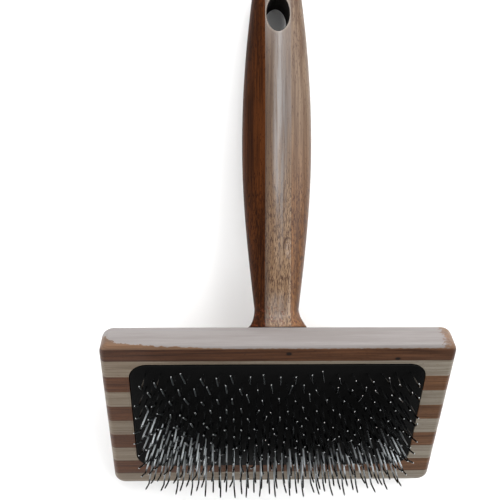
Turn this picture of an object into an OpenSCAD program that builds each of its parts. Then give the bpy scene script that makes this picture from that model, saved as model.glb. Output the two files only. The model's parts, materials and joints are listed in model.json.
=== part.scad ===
// A slicker brush of laminated bamboo: a striped head with a sprung cushion of bent wire pins, and a handle
// of three long strips whose flared foot is screwed and glued to the head's back.
// Head frame: X across the brush, Y towards the handle, Z out of the pin face, which lies at Z = 0.
// Handle frame: Y along the handle from the head's back edge, Z out of the handle's front.
// The finished brush is turned to lie on the head's far edge and the handle's end, with its pins up.

/* [Head] */
// Width of the head, across the handle
head_w = 115; // [100:1:130]
// Width of one glued strip of the head
strip_w = 6.75; // [6.4:0.05:7.2]
// Width of the trimmed strip furthest from the handle
last_strip_w = 5.9; // [5:0.1:6.4]
// Thickness of the head
head_t = 10; // [9.5:0.25:12]
// Rounding of the head's long and short edges
head_edge_r = 2; // [1:0.25:2.5]
// Radius of the head's four corners
head_corner_r = 4; // [3:0.25:6]

/* [Pocket and sponge] */
// Wood left beside the pocket, at each side
side_margin = 8.8; // [8:0.1:11]
// Wood left between the pocket and the handle's side of the head
near_margin = 8.1; // [7.5:0.1:9]
// Wood left between the pocket and the head's far side
far_margin = 9.6; // [8:0.1:11]
// Depth of the pocket that holds the sponge and the cushion
pocket_depth = 5.5; // [5:0.25:6]
// Radius of the pocket's corners
pocket_corner_r = 6; // [4:0.25:8]

/* [Pin cushion] */
// Gap between the cushion and the pocket or the sponge
cushion_gap = 0.3; // [0.3:0.05:0.5]
// Height of the cushion's rim above the pin face
rim_lift = 0.3; // [0:0.05:0.6]
// Thickness of the cushion at its rim
rim_t = 2.2; // [1.8:0.1:2.6]
// Rise of the cushion's crown above its rim
crown = 5; // [3.5:0.1:6]

/* [Pins] */
// Pins in a long row; every second row has one fewer
pins_per_row = 19; // [17:1:21]
// Rubber between the outer rows' strips of cushion and the rim, along the brush
row_border = 1.4; // [0.8:0.1:2.5]
// Rubber between the end pins and the rim, across the brush
pin_border = 5.4; // [4:0.1:7]
// Diameter of a pin
pin_d = 0.6; // [0.4:0.05:0.8]
// Diameter of a pin's ground tip
pin_tip_d = 0.4; // [0.3:0.05:0.5]
// Length of a pin's straight leg, out of the rubber
pin_leg = 8.5; // [6:0.25:10]
// Length of a pin's bent end
pin_hook = 6.5; // [4:0.25:8]
// Angle of the bend, towards the handle
pin_bend = 45; // [30:1:60]

/* [Handle] */
// Angle between the handle and the head, away from the pins
handle_tilt = 34; // [30:0.5:38]
// Length of the handle beyond the head's edge
handle_l = 121; // [119:1:130]
// Width of the middle strip
centre_strip_w = 8.6; // [8.4:0.1:9.4]
// Width of the handle at its neck
neck_w = 15; // [14:0.1:17]
// Thickness of the handle at its neck
neck_t = 13; // [11:0.1:15]
// Distance of the neck from the head's edge
neck_at = 4.6; // [4:0.1:6]
// How far the neck's front lies behind the head's back
neck_setback = 1.8; // [1:0.1:3]
// Width of the handle's belly
belly_w = 23.5; // [20:0.1:27]
// Thickness of the handle's belly
belly_t = 17; // [14:0.1:20]
// Distance of the belly from the head's edge
belly_at = 60.5; // [54:0.5:68]
// Width of the handle at the hanging hole
tail_w = 18.6; // [16:0.1:20]
// Thickness of the handle at the hanging hole
tail_t = 14.5; // [12:0.1:16]
// Length of the rounded end
end_round = 11; // [7:0.5:11.5]
// Squareness of the handle's section: 2 is an ellipse
section_power = 2.5; // [2:0.1:3]

/* [Hanging hole] */
// Distance of the hole's middle from the handle's end
hole_at = 18; // [16:0.5:23]
// Width of the oval hole
hole_w = 7.8; // [6:0.1:7.8]
// Length of the oval hole
hole_l = 12.2; // [9:0.1:13]

/* [Foot and screws] */
// Radius of the flare where the neck spreads into the foot
flare_r = 8.5; // [7:0.1:10]
// Turn of the flare's arc
flare_sweep = 75; // [60:1:85]
// Thickness of the foot where its rounded toe begins to close
toe_t = 1.2; // [0.8:0.1:2]
// Length of the rounded toe
toe_l = 7; // [5:0.5:9]
// Diameter of the screws
screw_d = 3; // [2.5:0.1:3.4]
// Diameter of the screws' countersunk heads
screw_head_d = 5.4; // [4.8:0.1:6]
// Length of screw in the foot
screw_bite = 4; // [3:0.25:4.5]
// Distance between the two screws
screw_spacing = 14; // [13:0.5:16]
// Clearance round the screws
screw_gap = 0.1; // [0.05:0.05:0.2]

/* [Hidden] */
$fn = 48;
dark_bamboo = [0.33, 0.21, 0.16];
pale_bamboo = [0.72, 0.64, 0.54];
rubber_black = [0.09, 0.09, 0.09];
sponge_grey = [0.3, 0.3, 0.3];
steel = [0.7, 0.7, 0.72];

strips = 10;
pin_rows = 17;
// The head strip that the screws pass through, counted from the handle
screwed_strip_index = 3;
head_l = (strips - 1) * strip_w + last_strip_w;
pocket_w = head_w - 2 * side_margin;
pocket_l = head_l - near_margin - far_margin;
pocket_y = (far_margin - near_margin) / 2;
screw_y = head_l / 2 - (screwed_strip_index - 0.5) * strip_w;
sponge_top = rim_lift - rim_t - cushion_gap;
// Room by which a cutting block overruns the piece that it cuts
overrun = 1;

// Half sizes and corner radius of the cushion
cushion_a = pocket_w / 2 - cushion_gap;
cushion_b = pocket_l / 2 - cushion_gap;
cushion_r = pocket_corner_r - cushion_gap;
row_pitch = 2 * (cushion_b - row_border) / pin_rows;
pin_pitch = 2 * (cushion_a - pin_border) / (pins_per_row - 1);
// Fullness of the crown across and along the brush: 2 is a parabola
crown_power_x = 3;
crown_power_y = 2.5;
// Least width of plain rubber at the end of a row
end_land = 0.4;

function two_digits(i) = str(i < 10 ? "0" : "", i);

// Triangles listed anticlockwise from outside, in the order that polyhedron takes
function turned(faces) = [for (f = faces) [f[2], f[1], f[0]]];
function unit(v) = v / norm(v);
function smooth(t) = t <= 0 ? 0 : t >= 1 ? 1 : t * t * (3 - 2 * t);
function arc(x, y, r, from, to, steps) =
    [for (i = [0 : steps]) let (a = from + (to - from) * i / steps) [x + r * cos(a), y + r * sin(a)]];
function rounded_rectangle(w, l, r, steps = 8) = concat(
    arc(w / 2 - r, l / 2 - r, r, 0, 90, steps),
    arc(r - w / 2, l / 2 - r, r, 90, 180, steps),
    arc(r - w / 2, r - l / 2, r, 180, 270, steps),
    arc(w / 2 - r, r - l / 2, r, 270, 360, steps)
);

// Head: a rounded slab, built from bars and quarter-round corners that meet on flat faces
function edge_profile(reach) = concat(
    [[0, -head_t]],
    arc(reach - head_edge_r, head_edge_r - head_t, head_edge_r, -90, 0, 6),
    arc(reach - head_edge_r, -head_edge_r, head_edge_r, 0, 90, 6),
    [[0, 0]]
);

module head_blank() {
    inner_x = head_w / 2 - head_corner_r;
    inner_y = head_l / 2 - head_corner_r;
    for (side = [0, 1]) mirror([0, side, 0])
        rotate([90, 0, 90]) linear_extrude(2 * inner_x, center = true) polygon(edge_profile(head_l / 2));
    for (side = [0, 1]) mirror([side, 0, 0]) {
        translate([inner_x, 0, 0]) rotate([90, 0, 0])
            linear_extrude(2 * inner_y, center = true) polygon(edge_profile(head_corner_r));
        for (end = [0, 1]) mirror([0, end, 0])
            translate([inner_x, inner_y, 0]) rotate_extrude(angle = 90) polygon(edge_profile(head_corner_r));
    }
}

module strip_slab(i) {
    near = i == 1 ? head_l / 2 + overrun : head_l / 2 - (i - 1) * strip_w;
    far = i == strips ? -head_l / 2 - overrun : head_l / 2 - i * strip_w;
    translate([-head_w / 2 - overrun, far, -head_t - overrun])
        cube([head_w + 2 * overrun, near - far, head_t + 2 * overrun]);
}

module pocket() {
    translate([0, pocket_y, -pocket_depth]) linear_extrude(pocket_depth + overrun)
        polygon(rounded_rectangle(pocket_w, pocket_l, pocket_corner_r));
}

module head_strip(i) {
    color(i % 2 == 1 ? dark_bamboo : pale_bamboo) at_rest() difference() {
        intersection() {
            head_blank();
            strip_slab(i);
        }
        pocket();
        if (i == screwed_strip_index) screw_pair(screw_gap);
    }
}

// Screws: driven from the pocket's floor, through the head, into the foot
module screw_pair(gap) {
    head_h = (screw_head_d - screw_d) / 2;
    tip_h = screw_d / 2;
    tip_d = screw_d / 4;
    shank_end = head_t - pocket_depth + screw_bite - tip_h;
    for (side = [-1, 1]) translate([side * screw_spacing / 2, screw_y, -pocket_depth]) {
        translate([0, 0, -head_h]) cylinder(h = head_h, d1 = screw_d + 2 * gap, d2 = screw_head_d + 2 * gap);
        translate([0, 0, -shank_end]) cylinder(h = shank_end - head_h, d = screw_d + 2 * gap);
        translate([0, 0, -shank_end - tip_h - gap])
            cylinder(h = tip_h + gap, d1 = tip_d + 2 * gap, d2 = screw_d + 2 * gap);
        if (gap > 0) cylinder(h = overrun, d = screw_head_d + 2 * gap);
    }
}

module foot_screws() {
    color(steel) at_rest() screw_pair(0);
}

module cushion_sponge() {
    color(sponge_grey) at_rest() translate([0, pocket_y, -pocket_depth])
        linear_extrude(pocket_depth + sponge_top)
            polygon(rounded_rectangle(2 * cushion_a, 2 * cushion_b, cushion_r));
}

// Cushion: a crowned rubber pad, one strip to each row of pins.
// Places on it are measured from the middle of the pocket.
function fall(u, power) = 1 - pow(abs(u), power);
function slope(u, power) = power * sign(u) * pow(abs(u), power - 1);
function crown_z(x, y) =
    rim_lift + crown * fall(x / cushion_a, crown_power_x) * fall(y / cushion_b, crown_power_y);
function crown_normal(x, y) = unit([
    crown * slope(x / cushion_a, crown_power_x) / cushion_a * fall(y / cushion_b, crown_power_y),
    crown * slope(y / cushion_b, crown_power_y) / cushion_b * fall(x / cushion_a, crown_power_x),
    1
]);
function on_crown(x, y) = [x, y, crown_z(x, y)];
function rim_x(y) =
    let (past = abs(y) - cushion_b + cushion_r)
    past <= 0 ? cushion_a : cushion_a - cushion_r + sqrt(max(0, cushion_r * cushion_r - past * past));

function pins_in(row) = pins_per_row - (row + 1) % 2;
function row_y(row) = cushion_b - row_border - (row - 0.5) * row_pitch;
function pin_x(row, i) = (i - (pins_in(row) - 1) / 2) * pin_pitch;
function leaned(v, angle) = [v.x, v.y * cos(angle) + v.z * sin(angle), v.z * cos(angle) - v.y * sin(angle)];
function pin_kink(x, y) = on_crown(x, y) + pin_leg * crown_normal(x, y);
function pin_tip(x, y) = pin_kink(x, y) + pin_hook * leaned(crown_normal(x, y), pin_bend);
function pin_ring(centre, lean, r) =
    [for (a = [90, 210, 330]) centre + r * [cos(a), sin(a) * cos(lean), -sin(a) * sin(lean)]];

// Points of one pin: three on the rubber, three at the kink and three at the ground tip
function pin_points(x, y) = concat(
    [for (p = pin_ring([x, y, 0], 0, pin_d / 2)) on_crown(p.x, p.y)],
    pin_ring(pin_kink(x, y), pin_bend / 2, pin_d / 2),
    pin_ring(pin_tip(x, y), pin_bend, pin_tip_d / 2)
);

// Faces of one pin, whose points start at p, in its cell of rubber with corners c
function pin_faces(p, c) = concat(
    [
        [c[0], c[1], p + 2], [c[0], p + 2, p + 1], [c[1], c[2], p], [c[1], p, p + 2],
        [c[2], c[3], p], [c[3], c[0], p + 1], [c[3], p + 1, p]
    ],
    [for (ring = [p, p + 3], k = [0 : 2], half = [0, 1])
        half == 0 ? [ring + k, ring + (k + 1) % 3, ring + 3 + (k + 1) % 3]
                  : [ring + k, ring + 3 + (k + 1) % 3, ring + 3 + k]],
    [[p + 6, p + 7, p + 8]]
);

module pin_row(row) {
    n = pins_in(row);
    y = row_y(row);
    near = row == 1 ? cushion_b : y + row_pitch / 2;
    far = row == pin_rows ? -cushion_b : y - row_pitch / 2;
    under = rim_lift - rim_t;
    // Rubber cells: one to each pin, drawn in where the rim's corners are
    half_row = n / 2 * pin_pitch;
    function cell_x(i, edge) = (i - n / 2) * pin_pitch * min(1, (rim_x(edge) - end_land) / half_row);
    cells = [for (i = [0 : n], edge = [far, near]) on_crown(cell_x(i, edge), edge)];
    pins = [for (i = [0 : n - 1]) each pin_points(pin_x(row, i), y)];
    // Rim: down the left end, then up the right end
    turns = max(near, -far) > cushion_b - cushion_r ? 4 : 1;
    left = [for (i = [0 : turns]) let (e = near + (far - near) * i / turns) [-rim_x(e), e]];
    right = [for (i = [0 : turns]) let (e = far + (near - far) * i / turns) [rim_x(e), e]];
    rim = concat(left, right);
    top = len(cells) + len(pins);
    low = top + len(rim);
    last = len(rim) - 1;
    faces = concat(
        [for (i = [0 : n - 1]) each pin_faces(len(cells) + 9 * i, [2 * i, 2 * i + 2, 2 * i + 3, 2 * i + 1])],
        // Plain rubber at the two ends of the row
        [[0, 1, top], [2 * n + 1, 2 * n, top + turns + 1]],
        [for (k = [0 : turns - 1]) [0, top + k, top + k + 1]],
        [for (k = [turns + 1 : last - 1]) [2 * n + 1, top + k, top + k + 1]],
        // Side towards the far edge, then the side towards the handle
        [[low + turns, low + turns + 1, top + turns + 1], [low + turns, top + turns + 1, 2 * n]],
        [for (i = [n : -1 : 1]) [low + turns, 2 * i, 2 * i - 2]],
        [[low + turns, 0, top + turns]],
        [[low + last, low, top], [low + last, top, 1]],
        [for (i = [0 : n - 1]) [low + last, 2 * i + 1, 2 * i + 3]],
        [[low + last, 2 * n + 1, top + last]],
        // Ends and underside
        [for (k = [0 : last - 1]) if (k != turns) each
            [[low + k, low + k + 1, top + k + 1], [low + k, top + k + 1, top + k]]],
        [for (k = [1 : last - 1]) [low, low + k + 1, low + k]]
    );
    points = concat(cells, pins, [for (p = rim) on_crown(p.x, p.y)], [for (p = rim) [p.x, p.y, under]]);
    color(rubber_black) at_rest() translate([0, pocket_y, 0]) polyhedron(points, turned(faces));
}

// Handle: sections across its length s, each with a middle line, a front and a back
back_line = -neck_setback - neck_t;
foot_l = (-back_line - toe_t) / tan(handle_tilt);
foot_w = neck_w + 2 * flare_r * (1 - cos(flare_sweep));
shoulder = neck_at - flare_r * sin(flare_sweep);
// The flare ends in a lip, close beside the head's rounded back edge and level with its foremost point
lip_gap = 0.25;
lip_at = head_edge_r * (1 - cos(handle_tilt) - sin(handle_tilt)) + lip_gap;
lip_z = head_edge_r * (cos(handle_tilt) - sin(handle_tilt));
lip_foot = lip_at - head_edge_r / 5;
// Place of the hanging hole along the handle
tail_at = handle_l - hole_at;

// A size that swells from the neck to the belly and shrinks again to the tail
function swell(s, neck, belly, tail) =
    s < belly_at ? neck + (belly - neck) * sin(90 * max(0, s - neck_at) / (belly_at - neck_at))
                 : belly * cos(acos(tail / belly) * (s - belly_at) / (tail_at - belly_at));
function closing(past, length) = past <= 0 ? 1 : sqrt(max(0, 1 - pow(past / length, 2)));
function end_closing(s) = closing(s - handle_l + end_round, end_round);
function toe_closing(s) = closing(-s - foot_l + toe_l, toe_l);
function flared(s) = s >= neck_at ? 0 : flare_r - sqrt(max(0, flare_r * flare_r - pow(neck_at - s, 2)));
function half_w(s) =
    s <= shoulder ? foot_w / 2 * toe_closing(s)
                  : (swell(s, neck_w, belly_w, tail_w) / 2 + flared(s)) * end_closing(s);
function half_t(s) = swell(s, neck_t, belly_t, tail_t) / 2 * end_closing(s);
// Share of the way down the flare, from its lip to the neck
function flare_share(s) = (s - lip_at) / (neck_at - lip_at);
function front_rise(s) = s <= lip_at ? 0 : s >= neck_at ? half_t(s) : neck_t / 2 * smooth(flare_share(s));
function hollow(s) = lip_z - (lip_z + neck_setback) * (1 - pow(1 - flare_share(s), 2));
function mid_line(s) =
    s < lip_at ? s * tan(handle_tilt) : s >= neck_at ? -neck_setback - neck_t / 2 : hollow(s) - front_rise(s);
function back_drop(s) = s >= neck_at ? half_t(s) : (mid_line(s) - back_line) * toe_closing(s);
function bulge(x, s) = pow(max(0, 1 - pow(abs(x) / half_w(s), section_power)), 1 / section_power);
function front_z(x, s) = mid_line(s) + front_rise(s) * bulge(x, s);
function back_z(x, s) = mid_line(s) - back_drop(s) * bulge(x, s);

even_stations = concat(
    [for (a = [78 : -13 : 13]) -foot_l + toe_l - toe_l * sin(a)],
    [for (i = [0 : 3]) -foot_l + toe_l + (shoulder + foot_l - toe_l) * i / 4],
    [for (i = [0 : 12]) neck_at - flare_r * sin(flare_sweep * (1 - i / 12))],
    [for (i = [1 : 24]) neck_at + (handle_l - end_round - neck_at) * i / 24],
    [for (a = [12 : 12 : 84]) handle_l - end_round + end_round * sin(a)]
);
// The lip takes the place of the sections nearest to it
stations = concat(
    [for (s = even_stations) if (s < lip_foot - lip_gap / 2) s],
    [lip_foot, lip_at],
    [for (s = even_stations) if (s > lip_at + lip_gap) s]
);
centre_half = centre_strip_w / 2;
// Least width of a side strip, and the share of the section that the end of the centre strip keeps
side_land = 0.4;
end_share = 0.97;

function centre_ring(s) =
    let (reach = min(centre_half, end_share * half_w(s)), xs = [for (i = [-4 : 4]) reach * i / 4])
    concat([for (x = xs) [x, s, front_z(x, s)]], [for (x = xs) [-x, s, back_z(x, s)]]);
function side_ring(s) =
    let (xs = [for (a = [0 : 10 : 90]) centre_half + (half_w(s) - centre_half) * sin(a)])
    concat(
        [for (x = xs) [x, s, front_z(x, s)]],
        [for (i = [len(xs) - 2 : -1 : 0]) [xs[i], s, back_z(xs[i], s)]]
    );

// A closed skin through rings that each run anticlockwise, seen from the far end.
// The two ends are closed by triangles that fan out from a point on the ring's curved back.
module loft(rings) {
    m = len(rings[0]);
    end = m * (len(rings) - 1);
    apex = floor(m * 3 / 4);
    sides = [for (r = [0 : len(rings) - 2], k = [0 : m - 1], half = [0, 1])
        let (a = r * m + k, b = r * m + (k + 1) % m)
        half == 0 ? [a, b, b + m] : [a, b + m, a + m]];
    caps = [for (k = [0 : m - 1]) let (next = (k + 1) % m)
        if (k != apex && next != apex) each [[apex, next, k], [end + apex, end + k, end + next]]];
    polyhedron([for (r = rings) each r], turned(concat(sides, caps)));
}

module on_handle() {
    translate([0, head_l / 2, -head_t]) rotate([-handle_tilt, 0, 0]) children();
}

module handle_centre_strip() {
    color(pale_bamboo) at_rest() on_handle() difference() {
        loft([for (s = stations) centre_ring(s)]);
        translate([0, tail_at, back_line - belly_t]) linear_extrude(2 * belly_t + neck_t)
            polygon([for (a = [0 : 9 : 351]) [hole_w / 2 * cos(a), hole_l / 2 * sin(a)]]);
    }
}

module handle_side_strip() {
    color(dark_bamboo) difference() {
        on_handle() loft([for (s = stations) if (half_w(s) > centre_half + side_land) side_ring(s)]);
        screw_pair(screw_gap);
    }
}

module handle_left_strip() {
    at_rest() mirror([1, 0, 0]) handle_side_strip();
}

module handle_right_strip() {
    at_rest() handle_side_strip();
}

// Rest: the floor touches the rounded far edge of the head's back and the lowest line of the handle's back
function handle_point(s, z) = [
    head_l / 2 + s * cos(handle_tilt) + z * sin(handle_tilt),
    -head_t - s * sin(handle_tilt) + z * cos(handle_tilt)
];
far_edge = [head_edge_r - head_l / 2, head_edge_r - head_t];
rest_tilt = max([for (s = stations)
    let (d = handle_point(s, back_z(0, s)) - far_edge)
    if (s > belly_at) -atan2(d[1], d[0]) - asin(head_edge_r / norm(d))]);
function rest_y(p) = p[0] * cos(rest_tilt) - p[1] * sin(rest_tilt);
function rest_z(p) = p[0] * sin(rest_tilt) + p[1] * cos(rest_tilt);
floor_z = rest_z(far_edge) - head_edge_r;
low_y = min(concat(
    [rest_y(far_edge) - head_edge_r, rest_y([head_edge_r - head_l / 2, -head_edge_r]) - head_edge_r],
    [for (row = [pin_rows - 1, pin_rows], i = [0 : pins_in(row) - 1])
        let (tip = pin_tip(pin_x(row, i), row_y(row)), kink = pin_kink(pin_x(row, i), row_y(row)))
        min(rest_y([pocket_y + tip.y, tip.z]), rest_y([pocket_y + kink.y, kink.z])) - pin_d / 2]
));
high_y = max([for (s = stations, z = [front_z(0, s), back_z(0, s)]) rest_y(handle_point(s, z))]);

module at_rest() {
    translate([0, -(low_y + high_y) / 2, -floor_z]) rotate([rest_tilt, 0, 0]) children();
}

for (i = [1 : strips]) head_strip(i);
handle_left_strip();
handle_centre_strip();
handle_right_strip();
foot_screws();
cushion_sponge();
for (i = [1 : pin_rows]) pin_row(i);
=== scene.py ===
import json
import math
import random
import bpy
from mathutils import Matrix, Vector


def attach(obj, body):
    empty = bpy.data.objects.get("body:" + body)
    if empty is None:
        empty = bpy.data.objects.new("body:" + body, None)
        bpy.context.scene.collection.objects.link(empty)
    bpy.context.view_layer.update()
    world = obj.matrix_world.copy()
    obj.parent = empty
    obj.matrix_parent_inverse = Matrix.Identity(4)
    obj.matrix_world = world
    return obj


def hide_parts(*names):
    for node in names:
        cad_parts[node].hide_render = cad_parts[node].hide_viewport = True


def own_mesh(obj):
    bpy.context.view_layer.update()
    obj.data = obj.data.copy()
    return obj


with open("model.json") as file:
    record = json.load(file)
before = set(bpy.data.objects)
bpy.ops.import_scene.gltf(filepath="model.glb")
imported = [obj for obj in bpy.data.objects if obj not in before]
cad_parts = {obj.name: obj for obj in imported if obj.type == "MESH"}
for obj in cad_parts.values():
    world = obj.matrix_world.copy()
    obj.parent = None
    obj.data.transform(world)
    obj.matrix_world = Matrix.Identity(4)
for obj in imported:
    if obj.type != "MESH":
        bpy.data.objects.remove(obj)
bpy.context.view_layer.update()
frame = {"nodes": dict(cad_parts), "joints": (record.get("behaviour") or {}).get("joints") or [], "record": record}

# Camera. The brush lies with its pins up, and the camera looks almost straight down on it, from above
# the middle of the grip and a little to the left. The lens suits a square picture of the whole head and
# most of the handle.
camera_place = (-0.0174, 0.0245, 0.2537)
camera_turn_degrees = (-7.0, -2.0, 0.32)
camera = bpy.data.objects.new("camera", bpy.data.cameras.new("camera"))
camera.location = camera_place
camera.rotation_euler = [math.radians(angle) for angle in camera_turn_degrees]
camera.data.lens = 50.4
camera.data.sensor_width = 36.0
bpy.context.scene.collection.objects.link(camera)
bpy.context.scene.camera = camera

# Head. Ten strips of bamboo, dark and pale in turn, are glued edge to edge and planed into one board.
# The board is milled with a pocket for the cushion, rounded over at its edges and given a satin varnish.
head_strips = sorted(name for name in frame["nodes"] if name.startswith("head_strip_"))
across = Vector((1, 0, 0))
face_out = -Vector(frame["joints"][0]["axis"])
face_along = face_out.cross(across)


def reach(names, direction):
    """The least and greatest distance of these nodes' points along a direction."""
    spans = [v.co.dot(direction) for name in names for v in frame["nodes"][name].data.vertices]
    return min(spans), max(spans)


def add(tree, kind, inputs=None, **settings):
    """A shader node with its settings; each input takes a value, or a link where a socket is given."""
    node = tree.nodes.new("ShaderNode" + kind)
    for name, value in settings.items():
        setattr(node, name, value)
    for key, value in (inputs or {}).items():
        if isinstance(value, bpy.types.NodeSocket):
            tree.links.new(value, node.inputs[key])
        else:
            node.inputs[key].default_value = value
    return node


def maths(tree, operation, first, second=0.0, third=0.0):
    """The result of one sum on values or sockets."""
    return add(tree, "Math", {0: first, 1: second, 2: third}, operation=operation).outputs[0]


def blended(tree, share, first, second):
    """Two colours mixed by a share."""
    inputs = {0: share, 6: first, 7: second}
    return add(tree, "Mix", inputs, data_type="RGBA").outputs[2]


def between(tree, value, low, high):
    """A value spread smoothly from 0 at low to 1 at high."""
    inputs = {"Value": value, "From Min": low, "From Max": high}
    return add(tree, "MapRange", inputs, interpolation_type="SMOOTHSTEP").outputs[0]


def coordinate(tree, place, axis):
    """One coordinate of a place."""
    return add(tree, "SeparateXYZ", {0: place}).outputs[axis]


def shade(red, green, blue):
    """A colour as a screen shows it, in the shader's linear light."""
    parts = [part / 255 for part in (red, green, blue)]
    return [*[p / 12.92 if p <= 0.04045 else ((p + 0.055) / 1.055) ** 2.4 for p in parts], 1.0]


def uneven(tree, place, sizes, detail=3.0):
    """Noise whose features have these sizes, in metres, along, across and through the piece."""
    scaled = add(tree, "VectorMath", {0: place, 1: [1 / size for size in sizes]}, operation="MULTIPLY")
    inputs = {"Vector": scaled.outputs[0], "Scale": 1.0, "Detail": detail, "Roughness": 0.6}
    return add(tree, "TexNoise", inputs).outputs[0]


def effect(name, inputs, outputs):
    """A new shader group with named sockets: its tree, its inputs and its output node."""
    tree = bpy.data.node_groups.new(name, "ShaderNodeTree")
    for socket, kind in inputs.items():
        tree.interface.new_socket(socket, in_out="INPUT", socket_type="NodeSocket" + kind)
    for socket, kind in outputs.items():
        tree.interface.new_socket(socket, in_out="OUTPUT", socket_type="NodeSocket" + kind)
    return tree, tree.nodes.new("NodeGroupInput").outputs, tree.nodes.new("NodeGroupOutput")


# Bamboo is long parallel fibres: bands of tone, streaks, fine hairs and short dark flecks of sap tubes.
bamboo_fibre, into, out = effect(
    "bamboo_fibre",
    {"Place": "Vector", "Flecks": "Float"},
    {"Grain": "Float", "Hair": "Float", "Fleck": "Float", "Height": "Float"},
)
band = uneven(bamboo_fibre, into["Place"], (0.08, 0.003, 0.008))
streak = uneven(bamboo_fibre, into["Place"], (0.03, 0.0007, 0.002))
hair = uneven(bamboo_fibre, into["Place"], (0.012, 0.00024, 0.0008))
sanding = uneven(bamboo_fibre, into["Place"], (0.008, 0.003, 0.003))
tube = uneven(bamboo_fibre, into["Place"], (0.0017, 0.00025, 0.0008), detail=2.0)
band_weight, streak_weight, hair_weight = 0.3, 0.4, 0.3
grain_low, grain_high, grain_height = 0.38, 0.62, 0.4
tone = maths(bamboo_fibre, "MULTIPLY", band, band_weight)
tone = maths(bamboo_fibre, "MULTIPLY_ADD", streak, streak_weight, tone)
tone = maths(bamboo_fibre, "MULTIPLY_ADD", hair, hair_weight, tone)
grain = between(bamboo_fibre, tone, grain_low, grain_high)
# A tube shows as a fleck where its noise passes a level, and a larger share of flecks lowers that level
level_at_none, level_drop, fleck_blur = 0.68, -0.16, 0.06
level = maths(bamboo_fibre, "MULTIPLY_ADD", into["Flecks"], level_drop, level_at_none)
found = {
    "Grain": grain,
    "Hair": hair,
    "Fleck": between(bamboo_fibre, tube, level, maths(bamboo_fibre, "ADD", level, fleck_blur)),
    "Height": maths(bamboo_fibre, "MULTIPLY_ADD", grain, grain_height, sanding),
}
for socket, value in found.items():
    bamboo_fibre.links.new(value, out.inputs[socket])

# An oval mark, such as a knot or the rim of a hole, measured in the wood's own frame.
oval_mark, into, out = effect(
    "oval_mark",
    {"Place": "Vector", "Middle": "Vector", "Radii": "Vector", "Blur": "Float"},
    {"Mask": "Float"},
)
offset = add(oval_mark, "VectorMath", {0: into["Place"], 1: into["Middle"]}, operation="SUBTRACT")
shares = add(oval_mark, "VectorMath", {0: offset.outputs[0], 1: into["Radii"]}, operation="DIVIDE")
away = add(oval_mark, "VectorMath", {0: shares.outputs[0]}, operation="LENGTH").outputs["Value"]
outer = maths(oval_mark, "ADD", into["Blur"], 1.0)
inner = maths(oval_mark, "SUBTRACT", 1.0, into["Blur"])
oval_mark.links.new(between(oval_mark, away, outer, inner), out.inputs["Mask"])


def mark(tree, place, middle, radii, blur):
    """The mask of one oval mark."""
    inputs = {"Place": place, "Middle": middle, "Radii": radii, "Blur": blur}
    return add(tree, "Group", inputs, node_tree=oval_mark).outputs["Mask"]


def new_finish(name):
    """A new material and its empty node tree."""
    material = bpy.data.materials.new(name)
    material.use_nodes = True
    material.node_tree.nodes.clear()
    return material, material.node_tree


def surface(tree, inputs):
    """Gives a material its shader, with these inputs."""
    shader = add(tree, "BsdfPrincipled", inputs)
    tree.links.new(shader.outputs[0], add(tree, "OutputMaterial").inputs[0])


fleck_depth = 0.85
fibre_depth = 0.0001
varnish_rough = 0.32
hair_rough = 0.2
dry_rough = 0.5


def toned(tree, wood, tones):
    """The wood's colour: its grain between the deep and the light tone, with flecks of the third."""
    deep, light, fleck = tones
    colour = blended(tree, wood["Grain"], deep, light)
    return blended(tree, maths(tree, "MULTIPLY", wood["Fleck"], fleck_depth), colour, fleck)


def bamboo(name, turn, start, tones, flecks, finish, marks=(), bare=None):
    """Varnished bamboo. The turn and start put the texture's first axis along the fibres.

    The tones are its deep, light and fleck colours, and the flecks are a share or a function of the place.
    Each mark is a function that gives a mask and a colour to lay over the wood. Wood with a glossy coat has
    bare, a function that gives the share of the coat that is worn away.
    """
    material, tree = new_finish(name)
    own = add(tree, "TexCoord").outputs["Object"]
    place = add(tree, "Mapping", {"Vector": own, "Rotation": turn, "Location": start}).outputs[0]
    share = flecks(tree, place) if callable(flecks) else flecks
    wood = add(tree, "Group", {"Place": place, "Flecks": share}, node_tree=bamboo_fibre).outputs
    colour = toned(tree, wood, tones)
    for laid in marks:
        mask, over = laid(tree, place, wood)
        colour = blended(tree, mask, colour, over)
    bump = add(tree, "Bump", {"Height": wood["Height"], "Strength": 0.5, "Distance": fibre_depth})
    rough = maths(tree, "MULTIPLY_ADD", wood["Hair"], hair_rough, varnish_rough)
    inputs = {"Base Color": colour, "Normal": bump.outputs[0], **finish}
    if bare is not None:
        dry = bare(tree, place, wood)
        rough = maths(tree, "MULTIPLY_ADD", dry, dry_rough, rough)
        inputs["Coat Weight"] = maths(tree, "SUBTRACT", 1.0, dry)
    surface(tree, {**inputs, "Roughness": rough})
    return material


def shifting(axis, start, stop, tones):
    """A mark that carries the wood over to other tones along one axis."""
    def laid(tree, place, wood):
        share = between(tree, coordinate(tree, place, axis), start, stop)
        return share, toned(tree, wood, tones)
    return laid


def dress(name, material):
    """Gives a CAD piece its finish."""
    for slot in frame["nodes"][name].material_slots:
        slot.material = material


real_edge = math.radians(32)
join_distance = 1e-6


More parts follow.
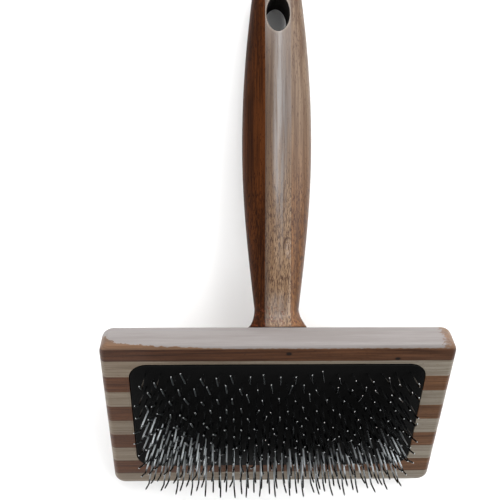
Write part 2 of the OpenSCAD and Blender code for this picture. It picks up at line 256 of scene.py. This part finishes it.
def faired(name):
    """Joins a piece's facets into one smooth surface, up to its real edges."""
    tree = bpy.data.node_groups.get("fair_surface")
    if tree is None:
        tree = bpy.data.node_groups.new("fair_surface", "GeometryNodeTree")
        tree.interface.new_socket("Mesh", in_out="INPUT", socket_type="NodeSocketGeometry")
        tree.interface.new_socket("Mesh", in_out="OUTPUT", socket_type="NodeSocketGeometry")
        joined = tree.nodes.new("GeometryNodeMergeByDistance")
        joined.inputs["Distance"].default_value = join_distance
        turned = tree.nodes.new("GeometryNodeInputMeshEdgeAngle")
        sharp = tree.nodes.new("FunctionNodeCompare")
        sharp.operation = "GREATER_THAN"
        sharp.inputs[1].default_value = real_edge
        normals = tree.nodes.new("GeometryNodeSetMeshNormal")
        normals.mode = "SHARPNESS"
        normals.inputs["Remove Custom"].default_value = True
        tree.links.new(tree.nodes.new("NodeGroupInput").outputs[0], joined.inputs[0])
        tree.links.new(turned.outputs[0], sharp.inputs[0])
        tree.links.new(joined.outputs[0], normals.inputs["Mesh"])
        tree.links.new(sharp.outputs[0], normals.inputs["Edge Sharpness"])
        tree.links.new(normals.outputs[0], tree.nodes.new("NodeGroupOutput").inputs[0])
    frame["nodes"][name].modifiers.new("fair_surface", "NODES").node_group = tree


head_near, head_far = reach(head_strips, face_along)
head_half_l = (head_far - head_near) / 2
head_middle = face_along * (head_near + head_far) / 2 + face_out * reach(head_strips, face_out)[1]
head_turn = (-math.atan2(face_along.z, face_along.y), 0, 0)
head_start = (0, -head_middle.dot(face_along), -head_middle.dot(face_out))


def over_edge(tree, place):
    """Place by the edge beside the handle: across, up, in from the side face, and over its rounding."""
    x, y, z = add(tree, "SeparateXYZ", {0: place}).outputs
    depth = maths(tree, "SUBTRACT", head_half_l, y)
    return x, z, depth, maths(tree, "ADD", depth, z)


def painted_edge_light(tree, place, wood):
    """Lighter tan over the rounded edge beside the handle, to a wavy border: painted light where the edge turns
    towards the lamps.
    """
    lit_reach, lit_wave, side_allowance = 0.0016, 0.0003, 0.0005
    blur, strength = 0.0001, 0.7
    depth, over = over_edge(tree, place)[2:]
    wave = uneven(tree, place, (0.006, 0.001, 0.001))
    limit = maths(tree, "MULTIPLY_ADD", wave, lit_wave, lit_reach)
    reached = maths(tree, "MAXIMUM", over, maths(tree, "SUBTRACT", depth, side_allowance))
    lit_part = between(tree, maths(tree, "SUBTRACT", limit, reached), 0.0, blur)
    tan = blended(tree, wood["Grain"], shade(94, 69, 49), shade(117, 90, 67))
    return maths(tree, "MULTIPLY", lit_part, strength), tan


def painted_edge_glare(tree, place, wood):
    """Painted glare, pale grey, on the side that faces the handle, strong to just past its rounded edge.

    Towards the left its border sinks and grows more ragged. Past its right end a thin, weaker film of it goes on.
    """
    border, ragged = 0.0015, 0.001
    left_from, left_to, left_sink, left_ragged = -0.018, -0.056, 0.0024, 0.0026
    corner_sink, corner_power = 0.004, 14.0
    right_border, right_ragged, film_width = 0.0532, 0.008, 0.002
    body_strength, film_strength = 0.95, 0.35
    blur = -0.0001, 0.0002
    x, z, depth, over = over_edge(tree, place)
    wave = maths(tree, "SUBTRACT", uneven(tree, place, (0.0015, 0.0009, 0.0009)), 0.5)
    to_left = add(tree, "MapRange", {"Value": x, "From Min": left_from, "From Max": left_to}).outputs[0]
    sink = maths(tree, "MULTIPLY", maths(tree, "POWER", to_left, corner_power), corner_sink)
    sink = maths(tree, "MULTIPLY_ADD", to_left, left_sink, sink)
    spread = maths(tree, "MULTIPLY_ADD", to_left, left_ragged, ragged)
    limit = maths(tree, "SUBTRACT", maths(tree, "MULTIPLY_ADD", wave, spread, border), sink)
    inside = maths(tree, "SUBTRACT", limit, over)
    right_limit = maths(tree, "MULTIPLY_ADD", wave, right_ragged, right_border)
    right_end = maths(tree, "SUBTRACT", right_limit, x)
    body = between(tree, maths(tree, "MINIMUM", inside, right_end), *blur)
    body = maths(tree, "MULTIPLY", body, body_strength)
    film = maths(tree, "MULTIPLY", between(tree, right_end, -film_width, 0.0), film_strength)
    film = maths(tree, "MULTIPLY", film, between(tree, inside, *blur))
    # It ends at the head's back and well before the next strip
    above_back = between(tree, z, -0.0096, -0.0088)
    beside_edge = between(tree, depth, 0.003, 0.0022)
    kept = maths(tree, "MULTIPLY", above_back, beside_edge)
    glare_grey = blended(tree, wood["Grain"], shade(112, 107, 105), shade(122, 118, 117))
    return maths(tree, "MULTIPLY", maths(tree, "MAXIMUM", body, film), kept), glare_grey


def knots(tree, place, wood):
    """Two dark knots in the strip beside the handle."""
    blur = 0.4
    first = mark(tree, place, (0.0030, 0.0296, 0), (0.0009, 0.0007, 0.003), blur)
    second = mark(tree, place, (0.0384, 0.0274, 0), (0.0009, 0.0006, 0.003), blur)
    return maths(tree, "MAXIMUM", first, second), shade(16, 9, 5)


# The tones at the left end of the strips, and the lighter ones they shift to towards the right
# Painted shade and light: the strips darken towards the left end and lighten towards the right, where the light
# falls
edge_tones = shade(39, 19, 8), shade(75, 44, 25), shade(32, 16, 8)
edge_lit_right = shade(48, 27, 14), shade(91, 60, 40), shade(38, 20, 11)
dark_tones = shade(52, 26, 10), shade(88, 52, 28), shade(39, 20, 9)
dark_lit_right = shade(62, 38, 21), shade(105, 73, 49), shade(46, 27, 15)
pale_tones = shade(97, 84, 70), shade(126, 114, 99), shade(90, 69, 50)
pale_lit_right = shade(104, 95, 83), shade(134, 127, 115), shade(92, 73, 55)
strip_shift = -0.065, 0.065
dark_flecks = 0.4
pale_flecks = 0.3
satin = {"Specular IOR Level": 0.3}
edge_strip = bamboo(
    "dark_bamboo_edge", head_turn, head_start, edge_tones, dark_flecks, satin,
    (shifting("X", *strip_shift, edge_lit_right), painted_edge_light, painted_edge_glare, knots),
)
dark_strip = bamboo(
    "dark_bamboo_head", head_turn, head_start, dark_tones, dark_flecks, satin,
    (shifting("X", *strip_shift, dark_lit_right),),
)
pale_strip = bamboo(
    "pale_bamboo_head", head_turn, head_start, pale_tones, pale_flecks, satin,
    (shifting("X", *strip_shift, pale_lit_right),),
)
for order, name in enumerate(head_strips):
    dress(name, pale_strip if order % 2 else dark_strip)
    faired(name)
dress(head_strips[0], edge_strip)

# Handle. Three long bamboo strips, a pale one between two dark ones, are glued and turned to a swelling grip.
# The foot is glued and screwed to the head's back, and an oval hole through the end takes a hook.
handle_strips = ("handle_left_strip", "handle_centre_strip", "handle_right_strip")
hole = frame["record"]["mounts"][0]
hole_place = Vector(hole["pos_m"])
front_out = Vector(hole["axis"])
handle_along = front_out.cross(across)
# The texture starts at the hole's middle. It is turned a second time, so that its first axis runs along
# the handle, away from the head, and its second axis to the left.
handle_turn = (-math.atan2(handle_along.z, handle_along.y), 0, -math.pi / 2)
handle_start = (-hole_place.dot(handle_along), 0, -hole_place.dot(front_out))
hole_half_l = 0.0061
hole_half_w = 0.0039
few_flecks = 0.4
more_at_neck = 0.7
more_at_hole = 0.45


def neck_flecks(tree, place):
    """More of the sap tubes are cut through on the lower half of the grip, where it narrows."""
    neck = between(tree, coordinate(tree, place, "X"), -0.045, -0.065)
    return maths(tree, "MULTIPLY_ADD", neck, more_at_neck, few_flecks)


def end_flecks(tree, place):
    """On the dark strips they show near the hole too, where the grip narrows again."""
    tail = between(tree, coordinate(tree, place, "X"), -0.03, -0.008)
    return maths(tree, "MULTIPLY_ADD", tail, more_at_hole, neck_flecks(tree, place))


def painted_hole_rim_light(tree, place, wood):
    """Pale ring along the edge of the hanging hole: a painted highlight where its edge catches the light."""
    rim_l, rim_w, blur, strength = 0.0006, 0.0005, 0.06, 0.5
    rim = mark(tree, place, (0, 0, 0), (hole_half_l + rim_l, hole_half_w + rim_w, 1), blur)
    return maths(tree, "MULTIPLY", rim, strength), shade(112, 101, 91)


def shaded_hole_wall(tree, place, wood):
    """The hole's wall, painted dark as the shade inside the hole."""
    skin, blur = 0.00006, 0.01
    radii = (hole_half_l + skin, hole_half_w + skin, 1)
    return mark(tree, place, (0, 0, 0), radii, blur), shade(20, 13, 8)


def scar_edge(tree, place, wood):
    """Dark crescent along one side of a small chipped scar."""
    radii, blur, strength = (0.0033, 0.0016, 0.01), 0.12, 0.9
    whole = mark(tree, place, (-0.0774, -0.0032, 0.007), radii, blur)
    inside = mark(tree, place, (-0.0780, -0.0035, 0.007), radii, blur)
    crescent = maths(tree, "SUBTRACT", whole, inside)
    return maths(tree, "MULTIPLY", crescent, strength), shade(48, 28, 16)


def scar_floor(tree, place, wood):
    """Pale wood inside the scar."""
    blur, strength = 0.4, 0.5
    inside = mark(tree, place, (-0.0782, -0.0036, 0.007), (0.0029, 0.0012, 0.01), blur)
    ragged = between(tree, uneven(tree, place, (0.0012, 0.0005, 0.001)), 0.35, 0.6)
    torn = maths(tree, "MULTIPLY", inside, ragged)
    return maths(tree, "MULTIPLY", torn, strength), shade(146, 130, 119)


def flare_pits(tree, place, wood):
    """Round ends of the fibres, where the flare cuts across them."""
    pits_to_a_metre, strength = 1100.0, 0.7
    pits = add(tree, "TexVoronoi", {"Vector": place, "Scale": pits_to_a_metre}).outputs["Distance"]
    spots = between(tree, pits, 0.42, 0.28)
    flare = between(tree, coordinate(tree, place, "X"), -0.0935, -0.0985)
    some = between(tree, uneven(tree, place, (0.002, 0.002, 0.002)), 0.42, 0.6)
    on_flare = maths(tree, "MULTIPLY", spots, flare)
    share = maths(tree, "MULTIPLY", on_flare, maths(tree, "MULTIPLY", some, strength))
    return share, shade(84, 42, 26)


def painted_grip_glare(tree, place, wood):
    """Painted glare, pale grey, in a streak down the grip below the hole and in a spot on the flare."""
    least, more, spot_strength = 0.12, 0.4, 0.6
    streak = mark(tree, place, (-0.038, -0.0006, 0), (0.036, 0.0021, 1), 0.5)
    spot = mark(tree, place, (-0.0975, -0.0002, 0), (0.0045, 0.0034, 1), 0.6)
    spot = maths(tree, "MULTIPLY", spot, spot_strength)
    broken = between(tree, uneven(tree, place, (0.02, 0.0008, 0.002)), 0.3, 0.6)
    share = maths(tree, "MULTIPLY_ADD", broken, more, least)
    return maths(tree, "MULTIPLY", maths(tree, "MAXIMUM", streak, spot), share), shade(112, 111, 112)


def worn_varnish(tree, place, wood):
    """The hole's wall has no varnish, and rubbing has thinned it at the neck and on the hole's right side."""
    neck_wear, hole_wear = 0.7, 0.5
    along = coordinate(tree, place, "X")
    neck = maths(tree, "MULTIPLY", between(tree, along, -0.06, -0.09), neck_wear)
    near_hole = between(tree, along, -0.036, -0.012)
    to_right = between(tree, coordinate(tree, place, "Y"), -0.0002, -0.002)
    by_hole = maths(tree, "MULTIPLY", maths(tree, "MULTIPLY", near_hole, to_right), hole_wear)
    thin = maths(tree, "MAXIMUM", neck, by_hole)
    return maths(tree, "MAXIMUM", shaded_hole_wall(tree, place, wood)[0], thin)


# The tones at the end of the handle, those they shift to at the neck, and those of the core's left margin
# Painted shade: the left strip is the same dark bamboo as the right one, only darker
shaded_left_tones = shade(31, 13, 4), shade(68, 35, 13), shade(28, 11, 4)
# Painted light and sheen: the right strip is lighter and greyer
lit_right_tones = shade(74, 53, 38), shade(111, 91, 72), shade(60, 34, 19)
right_neck = shade(70, 42, 19), shade(113, 77, 45), shade(49, 25, 11)
core_tones = shade(62, 42, 26), shade(89, 69, 51), shade(48, 24, 9)
core_neck = shade(92, 67, 44), shade(131, 107, 83), shade(48, 23, 7)
# Painted shade: the core's left margin is darker, where the grip turns away from the light
core_shaded_left = shade(46, 28, 16), shade(66, 47, 32), shade(36, 18, 7)
neck_shift = -0.025, -0.08
margin_shift = 0.002, 0.0046
core_marks = (
    shifting("X", *neck_shift, core_neck), shifting("Y", *margin_shift, core_shaded_left),
    painted_grip_glare, flare_pits, scar_floor, scar_edge, painted_hole_rim_light, shaded_hole_wall,
)
shaded_left_grip = bamboo(
    "dark_bamboo_shaded_left", handle_turn, handle_start, shaded_left_tones, end_flecks,
    {"Specular IOR Level": 0.03}, (flare_pits,),
)
lit_right_grip = bamboo(
    "dark_bamboo_lit_right", handle_turn, handle_start, lit_right_tones, end_flecks,
    {"Specular IOR Level": 0.28}, (shifting("X", *neck_shift, right_neck), flare_pits),
)
core = bamboo(
    "pale_bamboo_core", handle_turn, handle_start, core_tones, neck_flecks,
    {"Specular IOR Level": 0.3, "Coat Roughness": 0.17}, core_marks, worn_varnish,
)
for name, material in zip(handle_strips, (shaded_left_grip, core, lit_right_grip)):
    dress(name, material)
    faired(name)

# Screws. Two countersunk screws of turned steel join the head to the handle's foot. They are driven from
# the pocket's floor, so the cushion hides them.
screw_rough, turning_rough = 0.25, 0.2
screw_steel, tree = new_finish("screw_steel")
own = add(tree, "TexCoord").outputs["Object"]
turning = uneven(tree, own, (0.0002, 0.0002, 0.002))
surface(tree, {
    "Base Color": blended(tree, turning, shade(150, 150, 152), shade(206, 206, 208)),
    "Roughness": maths(tree, "MULTIPLY_ADD", turning, turning_rough, screw_rough),
    "Metallic": 1.0,
})
dress("foot_screws", screw_steel)

# Sponge. A pad of grey foam with open cells is cut to the pocket's outline and lies under the rubber.
# On the real brush it is pressed thinner when the pins give, and lifts them again; here it stays fixed to the
# brush's body.
pad_half_w = reach(["cushion_sponge"], across)[1]
pad_low, pad_high = reach(["cushion_sponge"], face_along)
pad_half_l = (pad_high - pad_low) / 2
pad_middle = face_along * (pad_low + pad_high) / 2 + face_out * head_middle.dot(face_out)
pad_frame = Matrix((across, face_along, face_out)).transposed().to_4x4()
pad_frame.translation = pad_middle
pad_corner = 0.0057
pad_lip = 0.0004
pad_columns = 72
half_rows = 12
corner_turns = range(0, 91, 15)
lip_turns = (30, 60, 90)
sharp_rim = math.radians(50)
foam_low, foam_high = (level - head_middle.dot(face_out) for level in reach(["cushion_sponge"], face_out))


def pad_rows(half_w, half_l, corner):
    """Rows of points over a rectangle with round corners, as a grid: places across in each row along."""
    bends = [math.radians(angle) for angle in corner_turns]
    ends = [half_l - corner + corner * math.sin(bend) for bend in bends]
    middle = [(half_l - corner) * step / half_rows for step in range(1 - half_rows, half_rows)]
    rows = []
    for y in [-end for end in reversed(ends)] + middle + ends:
        past = max(0.0, abs(y) - half_l + corner)
        half_row = half_w - corner + math.sqrt(max(0.0, corner ** 2 - past ** 2))
        rows.append([(half_row * (2 * step / pad_columns - 1), y) for step in range(pad_columns + 1)])
    return rows


def rim_of(rows):
    """The grid's outer points in order, as row and column."""
    last_row, last_column = len(rows) - 1, len(rows[0]) - 1
    return (
        [(0, c) for c in range(last_column)]
        + [(r, last_column) for r in range(last_row)]
        + [(last_row, c) for c in range(last_column, 0, -1)]
        + [(r, 0) for r in range(last_row, 0, -1)]
    )


def outward(x, y, half_w, half_l, corner):
    """The direction out of a rectangle with round corners, at a point of its edge."""
    side = Vector((
        math.copysign(max(0.0, abs(x) - half_w + corner), x),
        math.copysign(max(0.0, abs(y) - half_l + corner), y),
    ))
    if side.length < 1e-9:
        side = Vector((x / half_w, y / half_l))
    return side.normalized()


def pad_mesh(name, top, bottom):
    """A pad in the pocket: a top of the height given, a rounded lip, straight sides and a flat base."""
    half_w, half_l, corner = pad_half_w - pad_lip, pad_half_l - pad_lip, pad_corner - pad_lip
    rows = pad_rows(half_w, half_l, corner)
    columns = len(rows[0])
    points = [(x, y, top(x, y)) for row in rows for x, y in row]
    faces = [
        (r * columns + c, r * columns + c + 1, (r + 1) * columns + c + 1, (r + 1) * columns + c)
        for r in range(len(rows) - 1) for c in range(columns - 1)
    ]
    edge = [r * columns + c for r, c in rim_of(rows)]
    # Each ring goes further out and down than the one before it, and the last one lies at the bottom
    turns = [math.radians(angle) for angle in lip_turns]
    steps = [(pad_lip * math.sin(turn), pad_lip * (1 - math.cos(turn))) for turn in turns]
    rings = [edge]
    for out_by, down_by in steps + [(pad_lip, None)]:
        ring = []
        for index in edge:
            x, y, z = points[index]
            side = outward(x, y, half_w, half_l, corner)
            level = bottom if down_by is None else z - down_by
            ring.append(len(points))
            points.append((x + side.x * out_by, y + side.y * out_by, level))
        rings.append(ring)
    for inner, outer in zip(rings, rings[1:]):
        for k in range(len(edge)):
            following = (k + 1) % len(edge)
            faces.append((inner[k], outer[k], outer[following], inner[following]))
    faces.append(tuple(reversed(rings[-1])))
    mesh = bpy.data.meshes.new(name)
    mesh.from_pydata(points, [], faces)
    mesh.transform(pad_frame)
    mesh.polygons.foreach_set("use_smooth", [True] * len(mesh.polygons))
    mesh.set_sharp_from_angle(angle=sharp_rim)
    piece = bpy.data.objects.new(name, mesh)
    bpy.context.scene.collection.objects.link(piece)
    return piece


cells_to_a_metre = 1400.0
cell_depth = 0.0004
foam, tree = new_finish("grey_foam")
own = add(tree, "TexCoord").outputs["Object"]
cells = add(tree, "TexVoronoi", {"Vector": own, "Scale": cells_to_a_metre}).outputs["Distance"]
surface(tree, {
    "Base Color": blended(tree, cells, shade(52, 52, 54), shade(104, 104, 106)),
    "Roughness": 0.95,
    "Normal": add(tree, "Bump", {"Height": cells, "Strength": 0.8, "Distance": cell_depth}).outputs[0],
})
sponge = pad_mesh("foam_pad", lambda x, y: foam_high, foam_low)
sponge.data.materials.append(foam)
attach(sponge, "brush_body")
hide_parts("cushion_sponge")
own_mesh(sponge)

# Cushion. A sheet of black rubber carries the pins, and its rim holds it in the pocket. It is moulded with
# a crown, which makes the pins fan out, and has a fine matt grain.
rim_lift = 0.0003
rim_thickness = 0.0022
crown_rise = 0.005
crown_power_across = 3.0
crown_power_along = 2.5
rubber_rough, mottle_rough = 0.6, 0.15
rubber_grain_depth = 0.00005


def crown(x, y):
    """Height of the rubber over the head's face, at a place measured from the pocket's middle."""
    fall_across = 1 - min(1.0, abs(x / pad_half_w)) ** crown_power_across
    fall_along = 1 - min(1.0, abs(y / pad_half_l)) ** crown_power_along
    return rim_lift + crown_rise * fall_across * fall_along


def crown_normal(x, y):
    """The direction straight out of the rubber."""
    step = 1e-5
    slope_across = (crown(x + step, y) - crown(x - step, y)) / (2 * step)
    slope_along = (crown(x, y + step) - crown(x, y - step)) / (2 * step)
    return Vector((-slope_across, -slope_along, 1)).normalized()


rubber, tree = new_finish("black_rubber")
own = add(tree, "TexCoord").outputs["Object"]
mottle = uneven(tree, own, (0.006, 0.006, 0.006))
matt = uneven(tree, own, (0.00035, 0.00035, 0.00035))
surface(tree, {
    "Base Color": blended(tree, mottle, shade(4, 4, 4), shade(8, 8, 8)),
    "Roughness": maths(tree, "MULTIPLY_ADD", mottle, mottle_rough, rubber_rough),
    "Normal": add(tree, "Bump", {"Height": matt, "Strength": 0.4, "Distance": rubber_grain_depth}).outputs[0],
    "Specular IOR Level": 0.06,
})
pin_rows = sorted(name for name in frame["nodes"] if name.startswith("pin_row_"))
cushion = pad_mesh("rubber_cushion", crown, rim_lift - rim_thickness)
cushion.data.materials.append(rubber)
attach(cushion, "pin_cushion")
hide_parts(*pin_rows)

# Pins. Round steel wires stand in staggered rows, square to the rubber, each bent near its middle towards
# the handle, and those at the right also to the left. The bent ends are painted dark as shade, with tips
# ground round and bright. The legs in the lower rows and at the sides are painted bright as highlights.
wire_radius = 0.00028
tip_radius = 0.0002
ground_length = 0.0014
root_depth = 0.001
leg_length = 0.0085
hook_length = 0.0065
bend_angle = math.radians(45)
bend_radius = 0.0011
bend_steps = 4
tip_turns = (30, 60, 85)
wire_sides = 8
# A wire's stations are 0 in the rubber, 1 half way up the leg, 2 to 6 round the bend, 7 where the grinding
# starts and 8 to 11 round the tip. From station 4 on it is the hook.
hook_station = 4
last_station = 11
leg_fade = 2.1, 1.4
hook_fade = 5.5, 6.2
ground_fade = 7.86, 8.0
long_row = 19
row_border = 0.0014
pin_border = 0.0054
row_pitch = 2 * (pad_half_l - row_border) / len(pin_rows)
pin_pitch = 2 * (pad_half_w - pin_border) / (long_row - 1)


def wire_path(base, leg, hook):
    """Points and radii at the stations of one wire, from inside the rubber to its ground end."""
    kink = base + leg * leg_length
    set_back = bend_radius * math.tan(bend_angle / 2)
    first, second = kink - leg * set_back, kink + hook * set_back
    path = [(base - leg * root_depth, wire_radius), (base + leg * leg_length / 2, wire_radius)]
    for step in range(bend_steps + 1):
        share = step / bend_steps
        a, b = first.lerp(kink, share), kink.lerp(second, share)
        path.append((a.lerp(b, share), wire_radius))
    end = kink + hook * hook_length
    path.append((end - hook * ground_length, wire_radius))
    path.append((end - hook * tip_radius, tip_radius))
    for angle in tip_turns:
        a = math.radians(angle)
        path.append((end - hook * tip_radius * (1 - math.sin(a)), tip_radius * math.cos(a)))
    return path


def wire_row(name, pins):
    """One row of wires as a single mesh. Its texture map holds their painted leg highlights and hook dullness, and
    the way along them.
    """
    points, faces, highlights_and_dullness = [], [], []
    for base, leg, hook, highlit, dulled in pins:
        side = leg.cross(hook).normalized()
        path = wire_path(base, leg, hook)
        start = len(points)
        for k, (centre, radius) in enumerate(path):
            before, after = path[max(0, k - 1)][0], path[min(last_station, k + 1)][0]
            other = (after - before).normalized().cross(side)
            for s in range(wire_sides):
                a = 2 * math.pi * s / wire_sides
                points.append(centre + (side * math.cos(a) + other * math.sin(a)) * radius)
                highlights_and_dullness.append((highlit if k < hook_station else dulled, k / last_station))
        for k in range(last_station):
            ring = start + k * wire_sides
            for s in range(wire_sides):
                t = (s + 1) % wire_sides
                faces.append((ring + s, ring + t, ring + wire_sides + t, ring + wire_sides + s))
        faces.append(tuple(start + s for s in reversed(range(wire_sides))))
        faces.append(tuple(len(points) - wire_sides + s for s in range(wire_sides)))
    mesh = bpy.data.meshes.new(name)
    mesh.from_pydata(points, [], faces)
    mesh.transform(pad_frame)
    layer = mesh.uv_layers.new(name="along_wire")
    for loop in mesh.loops:
        layer.data[loop.index].uv = highlights_and_dullness[loop.vertex_index]
    mesh.polygons.foreach_set("use_smooth", [True] * len(mesh.polygons))
    piece = bpy.data.objects.new(name, mesh)
    bpy.context.scene.collection.objects.link(piece)
    return piece


# Painted shade: the hooks are near-black steel, all but the duller, lighter ones at the upper left
shaded_hook, dull_hook, bright_tip = shade(30, 31, 33), shade(86, 92, 93), shade(164, 167, 167)
plain_leg, painted_bright_leg = shade(150, 154, 156), shade(222, 228, 231)
polish_rough, stain_rough, dull_rough, leg_rough, highlight_rough = 0.06, 0.1, 0.22, 0.12, 0.2
highlight_metal = -0.75
wire, tree = new_finish("pin_steel")
own = add(tree, "TexCoord").outputs["Object"]
along_wire = add(tree, "UVMap", uv_map="along_wire").outputs[0]
highlight_and_dullness = coordinate(tree, along_wire, "X")
station = maths(tree, "MULTIPLY", coordinate(tree, along_wire, "Y"), last_station)
stain = uneven(tree, own, (0.003, 0.003, 0.003))
leg_part = between(tree, station, *leg_fade)
# Painted highlight: the marked legs turn lighter, rougher and less metallic
highlit_leg = maths(tree, "MULTIPLY", highlight_and_dullness, leg_part)
ground = between(tree, station, *ground_fade)
past_bend = between(tree, station, *hook_fade)
hook_part = maths(tree, "MULTIPLY", past_bend, maths(tree, "SUBTRACT", 1.0, ground))
steel = blended(tree, highlight_and_dullness, shaded_hook, dull_hook)
steel = blended(tree, ground, steel, bright_tip)
steel = blended(tree, leg_part, steel, plain_leg)
steel = blended(tree, highlit_leg, steel, painted_bright_leg)
rough = maths(tree, "MULTIPLY_ADD", stain, stain_rough, polish_rough)
rough = maths(tree, "MULTIPLY_ADD", maths(tree, "MULTIPLY", hook_part, highlight_and_dullness), dull_rough, rough)
rough = maths(tree, "MULTIPLY_ADD", leg_part, leg_rough, rough)
surface(tree, {
    "Base Color": steel,
    "Roughness": maths(tree, "MULTIPLY_ADD", highlit_leg, highlight_rough, rough),
    "Metallic": maths(tree, "MULTIPLY_ADD", highlit_leg, highlight_metal, 1.0),
})

# How far single wires stray from the pattern, and how much steadier those of the last row stand
lean_spread, bend_spread, turn_spread = 0.045, 0.05, 0.1
steadier = 0.55
hook_swing = 0.62
# The legs below a line across the cushion are painted bright as highlights, and the line rises towards both sides
highlight_low, highlight_fade, highlight_scatter, highlight_power = -0.0072, 0.005, 0.002, 0.3
highlight_left, left_from, left_over = 0.007, 0.012, 0.033
highlight_right, right_from, right_over = 0.0055, 0.018, 0.025
outer_rows, outer_highlight = 2, 0.55
# The hooks at the upper left are dull
dull_over_w, dull_over_l = 0.05, 0.01
chance = random.Random(7)


def limited(share):
    """A share kept from 0 to 1."""
    return min(1.0, max(0.0, share))


for order, node in enumerate(pin_rows):
    count = long_row - order % 2
    sway = 1 - steadier * (order / (len(pin_rows) - 1)) ** 3
    row_highlight = outer_highlight if order >= len(pin_rows) - outer_rows else 1.0
    y = pad_half_l - row_border - (order + 0.5) * row_pitch
    pins = []
    for i in range(count):
        x = (i - (count - 1) / 2) * pin_pitch
        base = Vector((x, y, crown(x, y)))
        leg = crown_normal(x, y)
        lean_along = Matrix.Rotation(chance.gauss(0, sway * lean_spread), 3, "X")
        lean_across = Matrix.Rotation(chance.gauss(0, sway * lean_spread), 3, "Y")
        leg.rotate(lean_along @ lean_across)
        to_right = (x / pad_half_w + 1) / 2
        to_top = (y / pad_half_l + 1) / 2
        to_handle = Vector((-hook_swing * to_right ** 2 * math.sqrt(to_top), 1, 0))
        to_handle = (to_handle - leg * leg.dot(to_handle)).normalized()
        bend = bend_angle + chance.gauss(0, sway * bend_spread)
        hook = leg * math.cos(bend) + to_handle * math.sin(bend)
        hook.rotate(Matrix.Rotation(chance.gauss(0, sway * turn_spread), 3, leg))
        highlight_edge = highlight_low + (highlight_left - highlight_low) * limited((-x - left_from) / left_over)
        highlight_edge += highlight_right * limited((x - right_from) / right_over)
        highlit = limited((highlight_edge - y + chance.gauss(0, highlight_scatter)) / highlight_fade)
        highlit *= chance.random() ** highlight_power
        dulled = limited(0.5 - x / dull_over_w) * limited(1 + y / dull_over_l)
        pins.append((base, leg, hook, highlit * row_highlight, dulled))
    row = wire_row(node.replace("pin_row", "pin_wires"), pins)
    row.data.materials.append(wire)
    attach(row, "pin_cushion")
    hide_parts(node)

# Studio. The brush lies on a plain pale floor before a white backdrop. Broad soft lamp panels stand beyond
# the handle, at the right, at the left and in front, and a narrow one lights the handle's crest. A low glow
# from the left fills the shadows.
floor_half = 0.55
floor_white = (0.92, 0.92, 0.92, 1)
floor_mesh = bpy.data.meshes.new("floor")
floor_mesh.from_pydata(
    [(-floor_half, -floor_half, 0), (floor_half, -floor_half, 0),
     (floor_half, floor_half, 0), (-floor_half, floor_half, 0)],
    [], [(0, 1, 2, 3)],
)
floor = bpy.data.objects.new("floor", floor_mesh)
bpy.context.scene.collection.objects.link(floor)
pale_paint, tree = new_finish("pale_floor")
surface(tree, {"Base Color": floor_white, "Roughness": 0.9})
floor_mesh.materials.append(pale_paint)


def softbox(name, place, aim, width, height, radiance):
    """A lamp panel of even brightness that faces a point."""
    lamp = bpy.data.lights.new(name, "AREA")
    lamp.shape = "RECTANGLE"
    lamp.size = width
    lamp.size_y = height
    lamp.energy = radiance * math.pi * width * height
    panel = bpy.data.objects.new(name, lamp)
    panel.location = place
    panel.rotation_euler = (Vector(aim) - Vector(place)).to_track_quat("-Z", "Y").to_euler()
    bpy.context.scene.collection.objects.link(panel)


softbox("far_softbox", (0.05, 0.8, 0.5), (0, -0.03, 0.03), width=1.0, height=0.9, radiance=3.4)
softbox("right_softbox", (0.62, 0.34, 0.6), (0, 0, 0.02), width=1.1, height=0.8, radiance=4.2)
softbox("left_softbox", (-0.8, 0.1, 0.55), (0, 0, 0.02), width=1.0, height=1.0, radiance=1.5)
softbox("front_softbox", (-0.35, -0.45, 0.85), (0, -0.03, 0.03), width=0.7, height=0.7, radiance=1.9)
softbox("crest_softbox", (0.09, 0.42, 0.95), (0, 0.05, 0.02), width=0.08, height=0.5, radiance=6.0)
even_glow, left_glow = 0.2, 1.1
glow_top = 0.45, 0.2
glow_side = 0.2, -0.3
world = bpy.data.worlds.new("studio")
world.use_nodes = True
tree = world.node_tree
toward = add(tree, "SeparateXYZ", {0: add(tree, "TexCoord").outputs["Generated"]}).outputs
low = between(tree, toward["Z"], *glow_top)
left = between(tree, toward["X"], *glow_side)
glow = maths(tree, "MULTIPLY_ADD", maths(tree, "MULTIPLY", low, left), left_glow, even_glow)
seen = add(tree, "LightPath").outputs["Is Camera Ray"]
tree.links.new(maths(tree, "MAXIMUM", glow, seen), tree.nodes["Background"].inputs["Strength"])
tree.nodes["Background"].inputs["Color"].default_value = (1, 1, 1, 1)
bpy.context.scene.world = world
bpy.context.scene.view_settings.view_transform = "Standard"
